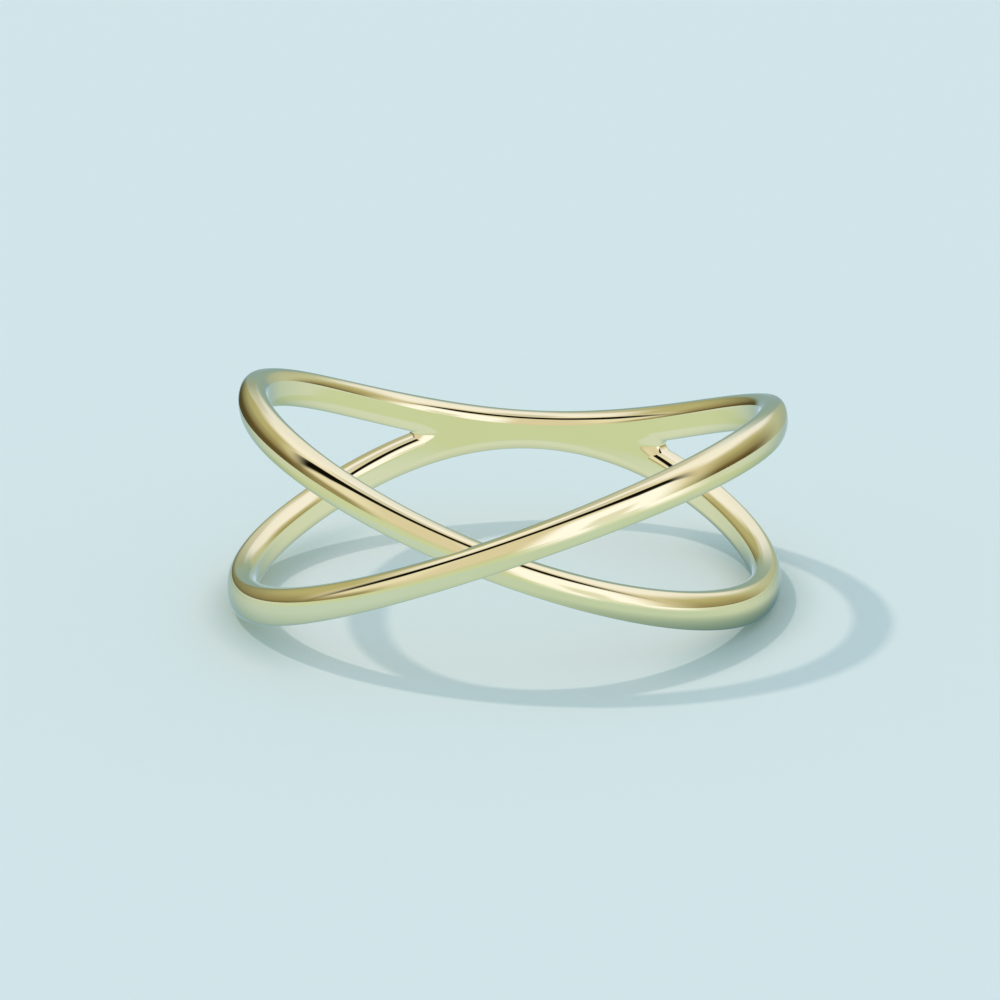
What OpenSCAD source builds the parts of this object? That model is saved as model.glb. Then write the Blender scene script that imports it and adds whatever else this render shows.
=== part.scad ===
// Crossover ring: one casting of two strands that cross at the front and join at the back.
// Millimetres. +Z is the finger axis, the crossing faces -Y, and Z = 0 is the surface that the ring lies on.
// Angles run round the finger from the crossing, positive towards +X, and the back of the ring is at 180.

/* [Finger hole] */
// Radius of the finger hole at the back
finger_radius = 8.65; // [7.5:0.05:10.5]
// How far the front strand stands out past that radius, and the rear strand in
strand_offset = 0.22; // [0:0.01:0.3]
// How much less of that offset the right side has than the middle, and the left side more
offset_change = 0.13; // [0:0.01:0.2]

/* [Strands] */
// Height scale of the two open loops
loop_spread = 1.0; // [0.8:0.01:1.25]
// Thickness of a strand from its finger side to its crown
strand_thickness = 1.0; // [0.95:0.01:1.6]
// Mean width of a strand along the finger
strand_width = 1.3; // [1.25:0.01:1.7]
// Radius that rounds both edges of the finger side
finger_edge = 0.43; // [0.2:0.01:0.45]
// Depth of the domed crown
crown_depth = 0.37; // [0.2:0.01:0.5]

/* [Shank] */
// Angle from the back to the bottom of the left notch
web_left = 29.5; // [28:0.5:32]
// Angle from the back to the bottom of the right notch
web_right = 33; // [31:0.5:35]
// How much further the web reaches along the strands than at the bottom of a notch
web_bow = 3; // [1:0.5:5]
// Rounding of the web's ends, into its thickness
web_round = 0.25; // [0.05:0.01:0.4]

/* [Rest] */
// Lean of both loops towards the back, so that they lie on the surface
lean_back = 2.5; // [0:0.1:5]
// Lean of both loops towards the right, so that the left and the right one touch it
lean_side = 1.315; // [0:0.005:2]

/* [Hidden] */

// Height of the front strand's middle as waves of half turns, odd about the crossing; the rear strand mirrors them
rise = [1.908, -0.284, 0.044, -0.002];
// The small uneven part of the same waves, which sets the crossing off the middle
skew = [-0.13, 0.091, 0.066];
// Height that both strands share: [cosine, sine] of the double angle
drift = [0.037, 0.045];
// Change of a strand's width round the ring: cosines of 1, 2, 3 and 4 times the angle
width_waves = [-0.117, -0.084, -0.082, 0.022];
// From this angle to the next the strands come back to the same radius
merge = [100, 160];
// Shares of the web's height from the lower strand's middle to the upper one's, closer together at the notch
web_shares = [-1, -0.6, -0.4, -0.25, -0.1, 0.1, 0.25, 0.4, 0.6, 1];
// Share that the notch takes up
notch_share = 0.4;
// Angle over which the web's ends are rounded
web_run = 3;

stations = 84;
edge_steps = 4;
crown_steps = 7;
web_steps = 18;
tiny = 0.01;

function sum(list, i = 0) = i < len(list) ? list[i] + sum(list, i + 1) : 0;
function ease(t) = let (u = min(1, max(0, t))) u * u * (3 - 2 * u);

// The first wave makes the strand pass through the middle plane at the back
first = rise[0] - rise[1] + rise[2] - rise[3];
waves = concat([first], rise);

function height(a, side) = middle_radius * (tan(lean_back) * cos(a) - tan(lean_side) * sin(a)) + loop_spread * (
    side * sum([for (k = [0:4]) waves[k] * sin((k + 0.5) * a)])
    + side * sum([for (k = [0:2]) skew[k] * cos((k + 0.5) * a)])
    + drift[0] * cos(2 * a) + drift[1] * sin(2 * a));
function lean(a, side) = let (d = 0.25, b = abs(a) > 179 ? 179 * sign(a) : a)
    abs(abs(a) - 180) < 0.01 ? 0
    : atan((height(b + d, side) - height(b - d, side)) / (2 * d * PI / 180) / middle_radius);
function half_width(a) = (strand_width + sum([for (k = [0:3]) width_waves[k] * cos((k + 1) * a)])) / 2;
function offset_at(a, side) = side * (strand_offset - offset_change * sin(a))
    * ease((merge[1] - abs(a)) / (merge[1] - merge[0]));
middle_radius = finger_radius + strand_thickness / 2;

// Half an outline from the finger side to the crown: [share of the half width, inset, depth]
half_outline = concat(
    [for (i = [0:edge_steps]) let (t = -90 + 90 * i / edge_steps)
        [1, finger_edge * (cos(t) - 1), finger_edge * (1 + sin(t))]],
    [for (i = [0:crown_steps - 1]) let (t = 90 * i / crown_steps)
        [cos(t), 0, strand_thickness - crown_depth * (1 - sin(t))]]);
outline = concat(
    [for (p = half_outline) [1, p]],
    [[1, [0, 0, strand_thickness]]],
    [for (i = [len(half_outline) - 1:-1:0]) [-1, half_outline[i]]]);

function on_ring(radius, a, z) = [radius * sin(a), -radius * cos(a), z];

function section(a, side) =
    let (tilt = lean(a, side), half = half_width(a), base = finger_radius + offset_at(a, side))
    [for (o = outline) let (across = o[0] * (o[1][0] * half + o[1][1]))
        on_ring(base + o[1][2], a - across * sin(tilt) / middle_radius * 180 / PI,
            height(a, side) + across * cos(tilt))];

// Skin of a closed run of equal sections; a closed loop joins its last section to its first
function skin(rings, count, closed) = [
    for (i = [0:rings - (closed ? 1 : 2)], j = [0:count - 1])
        let (p = i * count, q = ((i + 1) % rings) * count, k = (j + 1) % count)
        each [[p + j, q + j, q + k], [p + j, q + k, p + k]]];

places = [for (i = [0:stations - 1]) -180 + 360 * i / stations];
lowest = min([for (side = [-1, 1], a = places, p = section(a, side)) p.z]);

module strand(side) {
    polyhedron([for (a = places) each section(a, side)], skin(stations, len(outline), true), convexity = 8);
}

// Middle heights of the upper and lower strand at an angle that runs through the back without a jump
function upper(a) = a <= 180 ? height(a, 1) : height(a - 360, -1);
function lower(a) = a <= 180 ? height(a, -1) : height(a - 360, 1);

// Point of the web: u runs from the right notch to the left one, share from the lower strand to the upper one
function web_point(u, share, outside) =
    let (further = web_bow * pow(min(1, abs(share) / notch_share), 2),
        from = 180 - web_right - further, to = 180 + web_left + further,
        a = from + (to - from) * u,
        near_end = max(0, 1 - min(a - from, to - a) / web_run),
        sunk = web_round * (1 - sqrt(1 - near_end * near_end)) + tiny,
        base = finger_radius + share * (a <= 180 ? offset_at(a, 1) : offset_at(a - 360, -1)),
        middle = (upper(a) + lower(a)) / 2, half = max(0.2, (upper(a) - lower(a)) / 2 - tiny))
    on_ring(outside ? base + strand_thickness - sunk : base + sunk, a, middle + share * half);

module web() {
    last = len(web_shares) - 1;
    count = 2 * len(web_shares);
    points = [for (i = [0:web_steps]) let (u = (1 - cos(180 * i / web_steps)) / 2)
        each concat([for (share = web_shares) web_point(u, share, false)],
            [for (j = [last:-1:0]) web_point(u, web_shares[j], true)])];
    far = web_steps * count;
    ends = [for (j = [0:last - 1])
        let (across = count - 1 - j)
        each [[j, j + 1, across - 1, across], [far + j, far + across, far + across - 1, far + j + 1]]];
    polyhedron(points, concat(skin(web_steps + 1, count, false), ends), convexity = 4);
}

module ring() {
    color([0.83, 0.71, 0.45])
        translate([0, 0, -lowest])
            resize([0, 0, 0])
                union() {
                    strand(1);
                    strand(-1);
                    web();
                }
}

ring();
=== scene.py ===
import math
from functools import partial

import bpy
from mathutils import Matrix, Vector


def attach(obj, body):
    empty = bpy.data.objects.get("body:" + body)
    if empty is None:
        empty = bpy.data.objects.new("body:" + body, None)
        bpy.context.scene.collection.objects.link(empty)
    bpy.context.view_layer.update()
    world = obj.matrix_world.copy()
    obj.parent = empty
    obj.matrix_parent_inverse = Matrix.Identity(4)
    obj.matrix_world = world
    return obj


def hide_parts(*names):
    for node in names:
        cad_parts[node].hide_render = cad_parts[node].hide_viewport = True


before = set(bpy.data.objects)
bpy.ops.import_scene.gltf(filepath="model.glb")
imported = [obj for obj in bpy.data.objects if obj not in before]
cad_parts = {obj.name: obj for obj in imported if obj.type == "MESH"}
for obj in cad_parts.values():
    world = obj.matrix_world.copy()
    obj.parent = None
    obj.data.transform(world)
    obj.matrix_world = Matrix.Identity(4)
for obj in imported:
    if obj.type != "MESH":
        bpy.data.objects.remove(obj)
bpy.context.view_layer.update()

scene = bpy.context.scene


# Small helpers for node trees

# Links a socket, or sets a plain number, colour or material
def feed(tree, socket, value):
    if isinstance(value, bpy.types.NodeSocket):
        tree.links.new(value, socket)
    elif value is not None:
        socket.default_value = value


def calc(tree, operation, *numbers):
    node = tree.nodes.new("ShaderNodeMath")
    node.operation = operation
    for place, number in enumerate(numbers):
        feed(tree, node.inputs[place], number)
    return node.outputs[0]


def rampTo(tree, value, fromLow, fromHigh, toLow=0.0, toHigh=1.0, smooth=False):
    node = tree.nodes.new("ShaderNodeMapRange")
    node.interpolation_type = "SMOOTHSTEP" if smooth else "LINEAR"
    node.clamp = True
    given = {"Value": value, "From Min": fromLow, "From Max": fromHigh, "To Min": toLow, "To Max": toHigh}
    for label, number in given.items():
        feed(tree, node.inputs[label], number)
    return node.outputs[0]


def mixColor(tree, share, first, second):
    node = tree.nodes.new("ShaderNodeMix")
    node.data_type = "RGBA"
    feed(tree, node.inputs[0], share)
    feed(tree, node.inputs[6], first)
    feed(tree, node.inputs[7], second)
    return node.outputs[2]


def splitVector(tree, vector):
    node = tree.nodes.new("ShaderNodeSeparateXYZ")
    feed(tree, node.inputs[0], vector)
    return node.outputs


def addNode(tree, kind, inputs):
    node = tree.nodes.new(kind)
    for label, value in inputs.items():
        feed(tree, node.inputs[label], value)
    return node


def newTree(name, inputs, outputs):
    tree = bpy.data.node_groups.new(name, "GeometryNodeTree")
    for label, socketType in inputs:
        tree.interface.new_socket(label, in_out="INPUT", socket_type=socketType)
    for label, socketType in outputs:
        tree.interface.new_socket(label, in_out="OUTPUT", socket_type=socketType)
    given = tree.nodes.new("NodeGroupInput")
    result = tree.nodes.new("NodeGroupOutput")
    return tree, given.outputs, result.inputs


def capture(tree, geometry, value, kind):
    node = tree.nodes.new("GeometryNodeCaptureAttribute")
    node.capture_items.new(kind, "kept")
    node.domain = "POINT"
    feed(tree, node.inputs[0], geometry)
    feed(tree, node.inputs[1], value)
    return node.outputs[0], node.outputs[1]


def moveTo(tree, mesh, position):
    return addNode(tree, "GeometryNodeSetPosition", {"Geometry": mesh, "Position": position}).outputs[0]


def captureNormals(tree, mesh):
    normal = tree.nodes.new("GeometryNodeInputNormal").outputs[0]
    return capture(tree, mesh, normal, "VECTOR")


def keepNormals(tree, mesh, normal):
    node = addNode(tree, "GeometryNodeSetMeshNormal", {"Mesh": mesh})
    node.mode = "FREE"
    feed(tree, node.inputs["Custom Normal"], normal)
    return node.outputs[0]


# The ring's sizes in millimetres and degrees, as in the CAD but for the softer ends of the web
ringSizes = {
    "Finger Radius": 8.65,
    "Strand Thickness": 1.0,
    "Strand Width": 1.3,
    "Finger Edge": 0.43,
    "Crown Depth": 0.37,
    "Strand Offset": 0.22,
    "Offset Change": 0.13,
    "Loop Spread": 1.0,
    "Lean Back": 2.5,
    "Lean Side": 1.315,
    "Web Left": 29.5,
    "Web Right": 33.0,
    "Web Bow": 3.0,
    "Web Round": 0.34,
    "Web Run In": 6.5,
    "Rest Height": 3.8513,
}
# Waves of the strand's height, in half turns, and of its width, in whole turns
ringWaves = {
    "rise": [2.238, 1.908, -0.284, 0.044, -0.002],
    "skew": [-0.13, 0.091, 0.066],
    "drift": [0.037, 0.045],
    "width": [-0.117, -0.084, -0.082, 0.022],
}
ringMesh = {"Stations": 480, "Outline Steps": 64, "Web Steps": 130, "Web Columns": 23}

sizeInputs = [(label, "NodeSocketFloat") for label in ringSizes]


# Adds up size * wave(multiple * turn)
def waveSum(tree, turn, operation, terms, total=0.0):
    for multiple, size in terms:
        wave = calc(tree, operation, calc(tree, "MULTIPLY", turn, float(multiple)))
        total = calc(tree, "MULTIPLY_ADD", wave, size, total)
    return total


def oddWaves(sizes):
    return [(2 * place + 1, size) for place, size in enumerate(sizes)]


# The same waves' slopes for a whole turn
def slopesOf(terms, sign):
    return [(multiple, sign * multiple / 2 * size) for multiple, size in terms]


# Degrees from the front, both ways round, over which the strands come to one radius
joiningDegrees = (100, 160)


# Where the middle of the strand runs; it closes after two turns, so it is read by half turns
def makeTrackTree():
    outputs = ("Height", "Tilt", "Half Width", "Base Radius", "Middle Radius")
    tree, given, result = newTree("strandTrack", [("Half Turn", "NodeSocketFloat")] + sizeInputs,
                                  [(label, "NodeSocketFloat") for label in outputs])
    do = partial(calc, tree)
    half = given["Half Turn"]
    middle = do("MULTIPLY_ADD", given["Strand Thickness"], 0.5, given["Finger Radius"])
    back = do("TANGENT", do("RADIANS", given["Lean Back"]))
    side = do("TANGENT", do("RADIANS", given["Lean Side"]))
    turn = do("MULTIPLY", half, 2.0)
    cosTurn = do("COSINE", turn)
    sinTurn = do("SINE", turn)

    cosineDrift, sineDrift = ringWaves["drift"]
    sines = oddWaves(ringWaves["rise"]) + [(4, sineDrift)]
    cosines = oddWaves(ringWaves["skew"]) + [(4, cosineDrift)]
    rise = waveSum(tree, half, "COSINE", cosines, waveSum(tree, half, "SINE", sines))
    lean = do("SUBTRACT", do("MULTIPLY", back, cosTurn), do("MULTIPLY", side, sinTurn))
    height = do("ADD", do("MULTIPLY", middle, lean), do("MULTIPLY", given["Loop Spread"], rise))
    feed(tree, result["Height"], do("ADD", height, given["Rest Height"]))

    climb = waveSum(tree, half, "COSINE", slopesOf(sines, 1))
    climb = waveSum(tree, half, "SINE", slopesOf(cosines, -1), climb)
    leanClimb = do("ADD", do("MULTIPLY", back, sinTurn), do("MULTIPLY", side, cosTurn))
    slope = do("DIVIDE", do("MULTIPLY", given["Loop Spread"], climb), middle)
    feed(tree, result["Tilt"], do("ARCTANGENT", do("SUBTRACT", slope, leanClimb)))

    evens = [(2 * place + 2, size) for place, size in enumerate(ringWaves["width"])]
    width = waveSum(tree, half, "COSINE", evens, given["Strand Width"])
    feed(tree, result["Half Width"], do("MULTIPLY", width, 0.5))

    # The strands lie one outside the other at the crossing and come to one radius towards the back
    fromFront = do("ARCCOSINE", do("MULTIPLY", cosTurn, 0.999999))
    joining = [math.radians(degrees) for degrees in joiningDegrees]
    apart = rampTo(tree, fromFront, *joining, 1.0, 0.0, smooth=True)
    outward = do("SIGN", do("COSINE", half))
    offset = do("SUBTRACT", given["Strand Offset"], do("MULTIPLY", given["Offset Change"], sinTurn))
    offset = do("MULTIPLY", do("MULTIPLY", offset, outward), apart)
    feed(tree, result["Base Radius"], do("ADD", given["Finger Radius"], offset))
    feed(tree, result["Middle Radius"], middle)
    return tree


def placeTrack(tree, trackTree, given, halfTurn):
    node = tree.nodes.new("GeometryNodeGroup")
    node.node_tree = trackTree
    for label in ringSizes:
        feed(tree, node.inputs[label], given[label])
    feed(tree, node.inputs["Half Turn"], halfTurn)
    return node.outputs


# A point at that radius, angle and height, in metres
def onRing(tree, radius, angle, height):
    do = partial(calc, tree)
    flat = do("MULTIPLY", radius, 0.001)
    place = {
        "X": do("MULTIPLY", flat, do("SINE", angle)),
        "Y": do("MULTIPLY", do("MULTIPLY", flat, do("COSINE", angle)), -1.0),
        "Z": do("MULTIPLY", height, 0.001),
    }
    return addNode(tree, "ShaderNodeCombineXYZ", place).outputs[0]


# Where each stretch of the outline ends, as a share of the steps from the crown's middle to the finger side's
outlineEnds = {"crown": 16 / 32, "wall": 18 / 32, "edge": 27 / 32}
# Inside the web, over these degrees past its ends, a strand's hidden side draws in by a share of its width.
# It also sinks by a share of the way to the middle, in full from the last share of the width outwards
hiddenSide = {"from": 5.0, "to": 11.0, "drawnIn": 0.75, "sunk": 0.5, "sunkBy": 0.3}


# Half of the strand's outline: how far it is from the middle, and its depth from the finger side
def strandOutline(tree, given, halfWidth, down):
    do = partial(calc, tree)
    ends = outlineEnds
    crown = rampTo(tree, down, 0.0, ends["crown"], math.pi / 2, 0.0)
    wall = rampTo(tree, down, ends["crown"], ends["wall"])
    edge = rampTo(tree, down, ends["wall"], ends["edge"], 0.0, -math.pi / 2)
    flat = rampTo(tree, down, ends["edge"], 1.0, 1.0, 0.0)
    wide = do("MULTIPLY", halfWidth, do("COSINE", crown))
    wide = do("MULTIPLY_ADD", given["Finger Edge"], do("SUBTRACT", do("COSINE", edge), 1.0), wide)
    wide = do("MULTIPLY", wide, flat)
    crownDrop = do("MULTIPLY", given["Crown Depth"], do("SUBTRACT", 1.0, do("SINE", crown)))
    wallHeight = do("SUBTRACT", given["Strand Thickness"], given["Crown Depth"])
    wallHeight = do("SUBTRACT", wallHeight, given["Finger Edge"])
    depth = do("SUBTRACT", given["Strand Thickness"], crownDrop)
    depth = do("SUBTRACT", depth, do("MULTIPLY", wallHeight, wall))
    return wide, do("MULTIPLY_ADD", given["Finger Edge"], do("SINE", edge), depth)


# The strand: an outline carried twice round the finger on its track
def makeStrandTree(trackTree):
    counts = [("Stations", "NodeSocketInt"), ("Outline Steps", "NodeSocketInt")]
    tree, given, result = newTree("strandSweep", sizeInputs + counts, [("Mesh", "NodeSocketGeometry")])
    do = partial(calc, tree)
    index = tree.nodes.new("GeometryNodeInputIndex").outputs[0]
    stations = do("MULTIPLY", given["Stations"], 2.0)
    circle = "GeometryNodeCurvePrimitiveCircle"
    track = addNode(tree, circle, {"Resolution": stations}).outputs[0]
    outline = addNode(tree, circle, {"Resolution": given["Outline Steps"]}).outputs[0]
    track, station = capture(tree, track, index, "FLOAT")
    outline, step = capture(tree, outline, index, "FLOAT")
    mesh = addNode(tree, "GeometryNodeCurveToMesh", {"Curve": track, "Profile Curve": outline}).outputs[0]
    mesh = addNode(tree, "GeometryNodeFlipFaces", {"Mesh": mesh}).outputs[0]  # the sweep faces inward

    half = do("MULTIPLY", do("DIVIDE", station, stations), 2 * math.pi)
    turn = do("MULTIPLY", half, 2.0)
    at = placeTrack(tree, trackTree, given, half)

    # Down from the crown's middle, 0, to the middle of the finger side, 1, on the upper and the lower side
    around = do("DIVIDE", step, given["Outline Steps"])
    upper = do("SUBTRACT", do("MULTIPLY", do("LESS_THAN", around, 0.5), 2.0), 1.0)
    down = do("SUBTRACT", 1.0, do("ABSOLUTE", do("MULTIPLY_ADD", around, -2.0, 1.0)))
    wide, depth = strandOutline(tree, given, at["Half Width"], down)

    def place(wide, depth):
        across = do("MULTIPLY", wide, upper)
        angle = do("DIVIDE", do("MULTIPLY", across, do("SINE", at["Tilt"])), at["Middle Radius"])
        height = do("MULTIPLY_ADD", across, do("COSINE", at["Tilt"]), at["Height"])
        return onRing(tree, do("ADD", at["Base Radius"], depth), do("SUBTRACT", turn, angle), height)

    mesh, normal = captureNormals(tree, moveTo(tree, mesh, place(wide, depth)))

    # Inside the web the side that faces the other strand draws in: no two surfaces lie in one place
    angle = do("MODULO", do("DEGREES", turn), 360.0)
    start = do("SUBTRACT", 180.0, do("ADD", given["Web Right"], given["Web Bow"]))
    end = do("ADD", 180.0, do("ADD", given["Web Left"], given["Web Bow"]))
    overDegrees = (hiddenSide["from"], hiddenSide["to"])
    fromStart = rampTo(tree, do("SUBTRACT", angle, start), *overDegrees, smooth=True)
    toEnd = rampTo(tree, do("SUBTRACT", end, angle), *overDegrees, smooth=True)
    facing = do("LESS_THAN", do("MULTIPLY", upper, do("SINE", half)), 0.0)
    hidden = do("MULTIPLY", do("MULTIPLY", fromStart, toEnd), facing)
    drawnIn = do("MULTIPLY", wide, do("MULTIPLY_ADD", hidden, -hiddenSide["drawnIn"], 1.0))
    fromMiddle = do("DIVIDE", wide, at["Half Width"])
    inside = rampTo(tree, fromMiddle, 0.0, hiddenSide["sunkBy"], 0.0, hiddenSide["sunk"])
    inside = do("MULTIPLY", hidden, inside)
    toMiddle = do("MULTIPLY_ADD", given["Strand Thickness"], 0.5, do("MULTIPLY", depth, -1.0))
    sunk = do("MULTIPLY_ADD", toMiddle, inside, depth)
    mesh = moveTo(tree, mesh, place(drawnIn, sunk))
    feed(tree, result["Mesh"], keepNormals(tree, mesh, normal))
    return tree


# The web starts as a block. Its columns reach a little past the strands' middles, which are at 1 and -1,
# and what is past them shuts its sides under the strands' own faces; depths are in millimetres
webBlock = {
    "layers": 7,
    "reach": 2.2,
    "skin": 0.0006,
    "shutDepth": 0.9,
    "shutReach": 0.5,
    "bowShare": 0.62,
    "leastHalf": 0.03,
}


# The web that joins the strands at the back, from the right notch to the left one
def makeWebTree(trackTree):
    counts = [("Web Steps", "NodeSocketInt"), ("Web Columns", "NodeSocketInt")]
    tree, given, result = newTree("shankWeb", sizeInputs + counts, [("Mesh", "NodeSocketGeometry")])
    do = partial(calc, tree)
    block = addNode(tree, "GeometryNodeMeshCube", {
        "Vertices X": given["Web Steps"],
        "Vertices Y": given["Web Columns"],
        "Vertices Z": webBlock["layers"],
    })
    spot = splitVector(tree, tree.nodes.new("GeometryNodeInputPosition").outputs[0])
    mesh, along = capture(tree, block.outputs[0], spot[0], "FLOAT")
    mesh, across = capture(tree, mesh, spot[1], "FLOAT")
    mesh, outward = capture(tree, mesh, spot[2], "FLOAT")

    # Steps are closer together at both notches
    run = do("MULTIPLY_ADD", do("SINE", do("MULTIPLY", along, math.pi)), 0.5, 0.5)
    wide = do("MULTIPLY", across, webBlock["reach"])
    share = do("MAXIMUM", do("MINIMUM", wide, 1.0), -1.0)
    shut = do("SUBTRACT", do("ABSOLUTE", wide), do("ABSOLUTE", share))

    # Its ends bow into the notches and round off
    bow = rampTo(tree, do("ABSOLUTE", share), 0.0, webBlock["bowShare"], smooth=True)
    further = do("MULTIPLY", given["Web Bow"], bow)
    start = do("SUBTRACT", 180.0, do("ADD", given["Web Right"], further))
    end = do("ADD", 180.0, do("ADD", given["Web Left"], further))
    degrees = do("MULTIPLY_ADD", do("SUBTRACT", end, start), run, start)
    angle = do("RADIANS", degrees)
    toEnd = do("MINIMUM", do("SUBTRACT", degrees, start), do("SUBTRACT", end, degrees))
    nearEnd = do("MAXIMUM", do("SUBTRACT", 1.0, do("DIVIDE", toEnd, given["Web Run In"])), 0.0)
    left = do("SUBTRACT", 1.0, do("MULTIPLY", nearEnd, nearEnd))
    left = do("SQRT", do("MAXIMUM", left, 0.0))
    sunk = do("MULTIPLY", given["Web Round"], do("SUBTRACT", 1.0, left))

    def place(sunk, share):
        half = do("MULTIPLY", angle, 0.5)
        upper = placeTrack(tree, trackTree, given, half)
        lower = placeTrack(tree, trackTree, given, do("ADD", half, math.pi))
        offset = do("SUBTRACT", upper["Base Radius"], given["Finger Radius"])
        blend = do("MULTIPLY", share, do("MULTIPLY_ADD", do("MULTIPLY", share, share), -0.5, 1.5))
        base = do("MULTIPLY_ADD", blend, offset, given["Finger Radius"])
        inset = do("SUBTRACT", given["Strand Thickness"], do("MULTIPLY", sunk, 2.0))
        radius = do("ADD", base, do("MULTIPLY_ADD", inset, do("ADD", outward, 0.5), sunk))
        middle = do("MULTIPLY", do("ADD", upper["Height"], lower["Height"]), 0.5)
        reach = do("MULTIPLY", do("SUBTRACT", upper["Height"], lower["Height"]), 0.5)
        reach = do("MAXIMUM", reach, webBlock["leastHalf"])
        return onRing(tree, radius, angle, do("MULTIPLY_ADD", share, reach, middle))

    # First as one sheet past the strands' middles, for its normals, then shut below their crowns
    sheet = do("ADD", sunk, webBlock["skin"])
    mesh, normal = captureNormals(tree, moveTo(tree, mesh, place(sheet, wide)))
    past = do("MULTIPLY", share, do("MULTIPLY_ADD", shut, webBlock["shutReach"], 1.0))
    mesh = moveTo(tree, mesh, place(do("MULTIPLY_ADD", shut, webBlock["shutDepth"], sheet), past))
    feed(tree, result["Mesh"], keepNormals(tree, mesh, normal))
    return tree


def makeBandTree():
    shape = [("Geometry", "NodeSocketGeometry")]
    counts = [(label, "NodeSocketInt") for label in ringMesh]
    inputs = shape + sizeInputs + counts + [("Material", "NodeSocketMaterial")]
    tree, given, result = newTree("crossoverBand", inputs, shape)
    trackTree = makeTrackTree()
    join = tree.nodes.new("GeometryNodeJoinGeometry")
    for part in (makeStrandTree(trackTree), makeWebTree(trackTree)):
        node = tree.nodes.new("GeometryNodeGroup")
        node.node_tree = part
        for socket in node.inputs:
            feed(tree, socket, given[socket.name])
        tree.links.new(node.outputs[0], join.inputs[0])
    smooth = addNode(tree, "GeometryNodeSetShadeSmooth", {"Geometry": join.outputs[0]}).outputs[0]
    solid = addNode(tree, "GeometryNodeRealizeInstances", {"Geometry": smooth}).outputs[0]
    painted = addNode(tree, "GeometryNodeSetMaterial", {"Geometry": solid, "Material": given["Material"]})
    feed(tree, result["Geometry"], painted.outputs[0])
    return tree


# Runs a tree on an empty mesh and keeps the result as a plain mesh object
def bakeTree(name, tree, values):
    seed = bpy.data.objects.new(name + "Seed", bpy.data.meshes.new(name + "Seed"))
    scene.collection.objects.link(seed)
    modifier = seed.modifiers.new("shape", "NODES")
    modifier.node_group = tree
    for item in tree.interface.items_tree:
        if item.in_out == "INPUT" and item.name in values:
            modifier[item.identifier] = values[item.name]
    depsgraph = bpy.context.evaluated_depsgraph_get()
    mesh = bpy.data.meshes.new_from_object(seed.evaluated_get(depsgraph), depsgraph=depsgraph)
    bpy.data.objects.remove(seed)
    mesh.name = name
    piece = bpy.data.objects.new(name, mesh)
    scene.collection.objects.link(piece)
    return piece


def newMaterial(name):
    material = bpy.data.materials.new(name)
    material.use_nodes = True
    material.node_tree.nodes.clear()
    return material, material.node_tree


def endMaterial(tree, shader, kind="ShaderNodeOutputMaterial"):
    output = tree.nodes.new(kind)
    tree.links.new(shader.outputs[0], output.inputs[0])


def addNoise(tree, spot, scale, detail):
    noise = addNode(tree, "ShaderNodeTexNoise", {"Vector": spot, "Scale": scale, "Detail": detail})
    return noise.outputs["Fac"]


# Mirror polished champagne gold plate
goldLook = {
    "base": (0.88, 0.795, 0.47, 1.0),
    "warm": (0.865, 0.765, 0.43, 1.0),
    "edge": (0.55, 0.64, 0.66, 1.0),
    "roughness": (0.015, 0.045),
    "waviness": 0.012,
    "waveHeight": 0.0001,
    "plateScale": 260.0,
    "hazeScale": 2200.0,
    "swellScale": 420.0,
}


def makeGold():
    material, tree = newMaterial("polishedGoldPlate")
    spot = tree.nodes.new("ShaderNodeTexCoord").outputs["Object"]
    plate = addNoise(tree, spot, goldLook["plateScale"], 3.0)
    haze = addNoise(tree, spot, goldLook["hazeScale"], 4.0)
    swell = addNoise(tree, spot, goldLook["swellScale"], 1.0)
    bump = addNode(tree, "ShaderNodeBump", {
        "Strength": goldLook["waviness"],
        "Distance": goldLook["waveHeight"],
        "Height": swell,
    })
    shader = addNode(tree, "ShaderNodeBsdfPrincipled", {
        "Metallic": 1.0,
        "Roughness": rampTo(tree, haze, 0.3, 0.75, *goldLook["roughness"]),
        "Specular Tint": goldLook["edge"],
        "Base Color": mixColor(tree, rampTo(tree, plate, 0.35, 0.7), goldLook["base"], goldLook["warm"]),
        "Normal": bump.outputs[0],
    })
    endMaterial(tree, shader)
    return material


print("shaping the ring")
ring = bakeTree("crossoverRing", makeBandTree(), {**ringSizes, **ringMesh, "Material": makeGold()})
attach(ring, "root")
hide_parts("ring")
ring.visible_glossy = False  # it mirrors the studio but not itself
print("ring:", len(ring.data.vertices), "points")


# Camera at the photograph's angle; lengths in metres in the ring's own frame
cameraPlace = {
    "azimuth": 6.4521,
    "elevation": 17.1113,
    "roll": -1.0761,
    "distance": 0.1038452,
    "target": (-0.0003067, 0.0, 0.0034983),
    "lens": 106.38,
    "sensor": 36.0,
}


def makeCamera(place):
    azimuth, elevation, roll = (math.radians(place[key]) for key in ("azimuth", "elevation", "roll"))
    level = math.cos(elevation)
    back = Vector((math.sin(azimuth) * level, -math.cos(azimuth) * level, math.sin(elevation)))
    right = Vector((math.cos(azimuth), math.sin(azimuth), 0.0))
    up = back.cross(right)
    turnedRight = right * math.cos(roll) + up * math.sin(roll)
    turnedUp = up * math.cos(roll) - right * math.sin(roll)
    data = bpy.data.cameras.new("camera")
    data.sensor_width = place["sensor"]
    data.lens = place["lens"]
    data.clip_start = 0.005
    data.clip_end = 20.0
    camera = bpy.data.objects.new("camera", data)
    scene.collection.objects.link(camera)
    turned = Matrix((turnedRight, turnedUp, back)).transposed().to_4x4()
    turned.translation = Vector(place["target"]) + back * place["distance"]
    camera.matrix_world = turned
    scene.camera = camera


makeCamera(cameraPlace)
print("camera placed")


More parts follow.
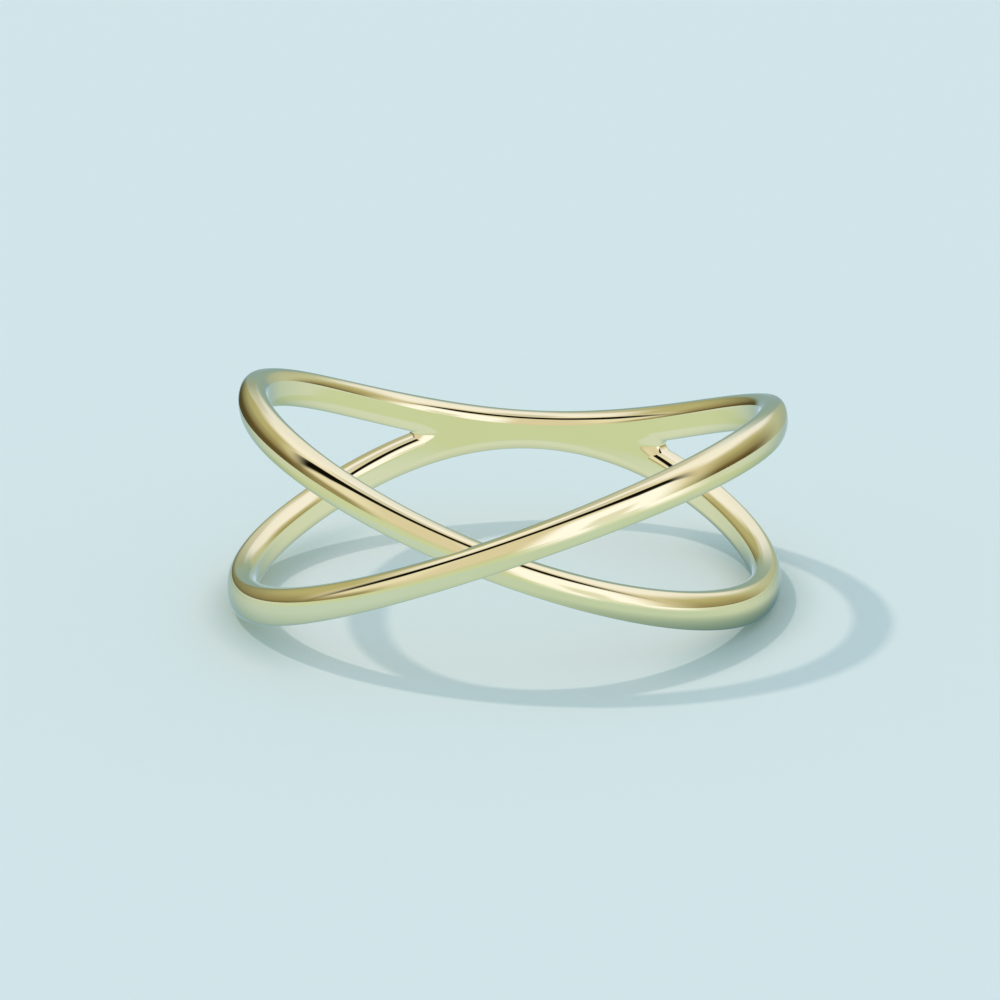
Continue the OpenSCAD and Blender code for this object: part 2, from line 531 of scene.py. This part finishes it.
# Pale floor, one key light and a soft cool surround
studio = {
    "floorSize": 3.0,
    "floorColor": (0.90, 0.90, 0.90, 1.0),
    "floorGrain": (0.84, 0.86, 0.86, 1.0),
    "grainScale": 900.0,
    "grainShare": 0.02,
    "ambient": (0.500, 0.695, 0.745, 1.0),
    "keyColor": (1.0, 0.90, 0.80),
    "keyStrength": 0.66,
    "keyWidth": 3.0,
    "keyTravel": (0.54, -0.235, -1.0),
    "backdrop": (0.63, 0.77, 0.80, 1.0),
}
# Painted contact shadow: the floor is painted darker close beside the ring's turns
paintedContactShadow = {
    "color": (0.40, 0.56, 0.57, 1.0),
    "radius": 0.0093,
    "beside": (0.0002, 0.0020),
    "aside": (0.0050, 0.0085),
    "share": 0.45,
}


def addStage(name, points, material):
    mesh = bpy.data.meshes.new(name)
    mesh.from_pydata(points, [], [tuple(range(len(points)))])
    mesh.materials.append(material)
    plane = bpy.data.objects.new(name, mesh)
    scene.collection.objects.link(plane)
    return plane


# How far a floor point is from the ring's middle, and its way there
def fromMiddle(tree, spot):
    length = tree.nodes.new("ShaderNodeVectorMath")
    length.operation = "LENGTH"
    feed(tree, length.inputs[0], spot)
    return length.outputs["Value"], splitVector(tree, spot)


# Degrees round from the front, positive to the right
def turnAhead(tree, way):
    return calc(tree, "DEGREES", calc(tree, "ARCTAN2", way[0], calc(tree, "MULTIPLY", way[1], -1.0)))


def makeFloor():
    material, tree = newMaterial("paleFloor")
    do = partial(calc, tree)
    spot = tree.nodes.new("ShaderNodeTexCoord").outputs["Object"]
    grain = addNoise(tree, spot, studio["grainScale"], 2.0)
    tone = rampTo(tree, grain, 0.3, 0.7, 0.0, studio["grainShare"])
    color = mixColor(tree, tone, studio["floorColor"], studio["floorGrain"])
    far, way = fromMiddle(tree, spot)
    # Painted contact shadow: the floor's colour turns dark teal near the ring's circle, towards its left and
    # right ends
    beside = do("ABSOLUTE", do("SUBTRACT", far, paintedContactShadow["radius"]))
    contactShade = rampTo(tree, beside, *paintedContactShadow["beside"], paintedContactShadow["share"], 0.0, smooth=True)
    contactShade = do("MULTIPLY", contactShade, rampTo(tree, do("ABSOLUTE", way[0]), *paintedContactShadow["aside"], smooth=True))
    shader = addNode(tree, "ShaderNodeBsdfPrincipled", {
        "Base Color": mixColor(tree, contactShade, color, paintedContactShadow["color"]),
        "Roughness": 0.9,
        "Specular IOR Level": 0.0,
    })
    endMaterial(tree, shader)
    half = studio["floorSize"] / 2
    corners = [(-half, -half, 0), (half, -half, 0), (half, half, 0), (-half, half, 0)]
    floor = addStage("floor", corners, material)
    floor.visible_glossy = False


# The part of the floor that the metal mirrors, as a glowing disc that only reflections see: its colours are a
# painted reflection of the floor, with painted shade close under the ring and a painted bright patch ahead on
# the right
mirrored = {
    "radius": 0.033,
    "corners": 48,
    "below": 0.00003,
    "far": (0.657, 0.80, 0.70, 1.0),
    "near": (0.60, 0.78, 0.82, 1.0),
    "left": (0.60, 0.79, 0.93, 1.0),
    "sides": (0.72, 0.86, 0.94, 1.0),
    "shade": (0.20, 0.34, 0.42, 1.0),
    "shadeShare": 0.95,
    "shadeOnLeft": 0.25,
    "glowDip": 43.0,
    "glowDipShare": 0.35,
}
# Between which two values each colour changes: metres for paths and places, degrees for turns
mirroredEdges = {
    "nearPath": (0.008, 0.012),
    "shadePath": (0.0006, 0.0042),
    "rightPlace": (-0.006, 0.004),
    "sideTurn": (55.0, 100.0),
    "sidePlace": (0.017, 0.021),
    "glowTurn": (5.0, 30.0),
    "glowTurnEnd": (62.0, 85.0),
    "glowPlace": (0.015, 0.024),
    "dipTurn": (5.0, 13.0),
}


def makeMirroredFloor():
    material, tree = newMaterial("mirroredFloor")
    do = partial(calc, tree)
    spot = tree.nodes.new("ShaderNodeTexCoord").outputs["Object"]
    far, way = fromMiddle(tree, spot)
    ahead = turnAhead(tree, way)
    path = tree.nodes.new("ShaderNodeLightPath").outputs["Ray Length"]  # from the mirroring surface

    def over(value, name, toLow=0.0, toHigh=1.0):
        return rampTo(tree, value, *mirroredEdges[name], toLow, toHigh, smooth=True)

    near = over(path, "nearPath", 1.0, 0.0)
    right = rampTo(tree, way[0], *mirroredEdges["rightPlace"])
    below = mixColor(tree, right, mirrored["left"], mirrored["near"])
    color = mixColor(tree, near, mirrored["far"], below)
    sides = do("MAXIMUM", near, over(far, "sidePlace"))
    sides = do("MULTIPLY", over(do("ABSOLUTE", ahead), "sideTurn"), sides)
    color = mixColor(tree, sides, color, mirrored["sides"])
    # Painted shade: the mirrored floor darkens where the mirroring surface is close above it, less on the
    # left
    shade = over(path, "shadePath", mirrored["shadeShare"], 0.0)
    shade = do("MULTIPLY", shade, rampTo(tree, right, 0.0, 1.0, mirrored["shadeOnLeft"], 1.0))
    color = mixColor(tree, shade, color, mirrored["shade"])
    # Painted light: a bright patch of the room's white on the mirrored floor, ahead on the right, dimmer
    # around 43 degrees
    glow = do("MULTIPLY", over(ahead, "glowTurn"), over(ahead, "glowTurnEnd", 1.0, 0.0))
    glow = do("MULTIPLY", glow, over(far, "glowPlace"))
    fromDip = do("ABSOLUTE", do("SUBTRACT", ahead, mirrored["glowDip"]))
    glow = do("MULTIPLY", glow, over(fromDip, "dipTurn", mirrored["glowDipShare"]))
    color = mixColor(tree, glow, color, room["white"])
    endMaterial(tree, addNode(tree, "ShaderNodeEmission", {"Color": color, "Strength": 1.0}))
    turns = [2 * math.pi * corner / mirrored["corners"] for corner in range(mirrored["corners"])]
    radius = mirrored["radius"]
    points = [(radius * math.cos(turn), radius * math.sin(turn), -mirrored["below"]) for turn in turns]
    disc = addStage("mirroredFloor", points, material)
    disc.visible_camera = False
    disc.visible_diffuse = False
    disc.visible_shadow = False
    disc.visible_transmission = False


def makeKeyLight():
    data = bpy.data.lights.new("keyLight", "SUN")
    data.color = studio["keyColor"]
    data.energy = studio["keyStrength"]
    data.angle = math.radians(studio["keyWidth"])
    light = bpy.data.objects.new("keyLight", data)
    light.rotation_mode = "QUATERNION"
    light.rotation_quaternion = Vector(studio["keyTravel"]).to_track_quat("-Z", "Y")
    light.visible_glossy = False
    scene.collection.objects.link(light)


# What the metal mirrors past the floor: pale panels, darker studio at the sides and a thin gap overhead
room = {
    "creamLow": (0.70, 0.74, 0.65, 1.0),
    "cream": (0.806, 0.772, 0.733, 1.0),
    "creamLeft": (0.918, 0.906, 0.92, 1.0),
    "white": (1.18, 1.24, 1.65, 1.0),
    "tan": (0.54, 0.53, 0.35, 1.0),
    "brown": (0.35, 0.32, 0.20, 1.0),
    "horizon": (0.14, 0.105, 0.045, 1.0),
    "wall": (0.52, 0.65, 0.68, 1.0),
    "panel": (1.05, 1.08, 1.40, 1.0),
    "top": (0.72, 0.74, 0.82, 1.0),
    "gap": (0.006, 0.005, 0.003, 1.0),
}
# Where the colours change, in degrees: round from the front for turns, above the horizon for rises.
# Two numbers are a soft step, and four are a step up and one down again
roomEdges = {
    "creamRise": (-6, 6),
    "creamLeftTurn": (-30, -50),
    "creamLeftRise": (2, 16),
    "brownTurn": (-42, -62),
    "brownRise": (9, -3),
    "whiteTurn": (2, 20, 60, 82),
    "whiteRise": (52, 30),
    "dipTurn": (30, 38, 48, 56),
    "dipRise": (14, 4),
    "sideTurn": (72, 100),
    "horizonRise": (-8, 4),
    "tanRise": (0, 22),
    "sidePanelTurn": (60, 90),
    "sidePanelLow": (16, 40),
    "sidePanelRise": (32, 56),
    "rightWallTurn": (118, 150),
    "rightPanelRise": (12, 26),
    "leftWallTurn": (-154, -166),
    "leftWallEnd": (166, 176),
    "leftPanelRise": (12, 30),
    "dimTurn": (-175, -170, -159, -152),
    "dimRise": (10, 17, 32, 42),
    "topRise": (70, 82),
    "gapTurn": (-90, -74, 68, 84),
}
roomShares = {"dip": 0.65, "dim": 0.5, "lighterRight": 3.0}
# The gap is a band overhead, leaning by this many degrees, between two soft edges across it. The lower edge
# rises at both ends: over the first two numbers, which are turns, by the other two
roomGap = {
    "lean": 68.0,
    "lower": (-0.27, -0.19),
    "upper": (0.14, 0.08),
    "thinLeft": (-82.0, -60.0, 0.12, 0.0),
    "thinRight": (50.0, 70.0, 0.0, 0.13),
}


def makeRoom():
    world = bpy.data.worlds.new("room")
    scene.world = world
    world.use_nodes = True
    tree = world.node_tree
    tree.nodes.clear()
    do = partial(calc, tree)
    way = splitVector(tree, tree.nodes.new("ShaderNodeTexCoord").outputs["Generated"])
    x, y, z = way
    rise = do("DEGREES", do("ARCSINE", z))
    ahead = turnAhead(tree, way)

    def within(value, edges):
        mask = rampTo(tree, value, edges[0], edges[1], smooth=True)
        if len(edges) == 4:
            mask = do("MULTIPLY", mask, rampTo(tree, value, edges[2], edges[3], 1.0, 0.0, smooth=True))
        return mask

    def turned(name):
        return within(ahead, roomEdges[name])

    def risen(name):
        return within(rise, roomEdges[name])

    def paint(color, name, *masks):
        share = masks[0]
        for mask in masks[1:]:
            share = do("MULTIPLY", share, mask)
        return mixColor(tree, share, color, room[name])

    # In front
    color = paint(room["creamLow"], "cream", risen("creamRise"))
    color = paint(color, "creamLeft", turned("creamLeftTurn"), risen("creamLeftRise"))
    color = paint(color, "brown", turned("brownTurn"), risen("brownRise"))
    color = paint(color, "white", turned("whiteTurn"), risen("whiteRise"))
    dip = do("MULTIPLY", turned("dipTurn"), roomShares["dip"])
    color = paint(color, "creamLow", dip, risen("dipRise"))
    # At the sides the studio is dim near the horizon and bright above, and lighter on the right
    level = do("MULTIPLY_ADD", do("MAXIMUM", x, 0.0), roomShares["lighterRight"], rise)
    side = mixColor(tree, within(level, roomEdges["horizonRise"]), room["horizon"], room["brown"])
    side = paint(side, "tan", within(level, roomEdges["tanRise"]))
    side = paint(side, "panel", turned("sidePanelTurn"), risen("sidePanelLow"))
    side = paint(side, "panel", risen("sidePanelRise"))
    color = mixColor(tree, within(do("ABSOLUTE", ahead), roomEdges["sideTurn"]), color, side)
    # Behind, the pale wall on the right and the blue one on the left, with the panel over both
    behind = paint(room["creamLow"], "panel", risen("rightPanelRise"))
    color = mixColor(tree, turned("rightWallTurn"), color, behind)
    behind = paint(room["wall"], "panel", risen("leftPanelRise"))
    dim = do("MULTIPLY", turned("dimTurn"), roomShares["dim"])
    behind = paint(behind, "tan", dim, risen("dimRise"))
    color = mixColor(tree, turned("leftWallTurn"), color, behind)
    color = mixColor(tree, turned("leftWallEnd"), color, behind)
    color = paint(color, "top", risen("topRise"))
    # The gap runs overhead from left to right, a little in front of the ring, and thins out at its ends
    lean = math.radians(roomGap["lean"])
    across = do("MULTIPLY_ADD", y, math.sin(lean), do("MULTIPLY", z, math.cos(lean)))
    thin = do("ADD", rampTo(tree, ahead, *roomGap["thinLeft"]), rampTo(tree, ahead, *roomGap["thinRight"]))
    lower = within(do("SUBTRACT", across, thin), roomGap["lower"])
    color = paint(color, "gap", lower, within(across, roomGap["upper"]), turned("gapTurn"))

    path = tree.nodes.new("ShaderNodeLightPath").outputs
    color = mixColor(tree, path["Is Camera Ray"], color, studio["backdrop"])
    color = mixColor(tree, path["Is Diffuse Ray"], color, studio["ambient"])
    background = addNode(tree, "ShaderNodeBackground", {"Color": color, "Strength": 1.0})
    endMaterial(tree, background, "ShaderNodeOutputWorld")


makeFloor()
makeMirroredFloor()
makeKeyLight()
print("floor and light placed")
makeRoom()
scene.view_settings.view_transform = "Standard"
scene.view_settings.look = "None"
print("studio made")
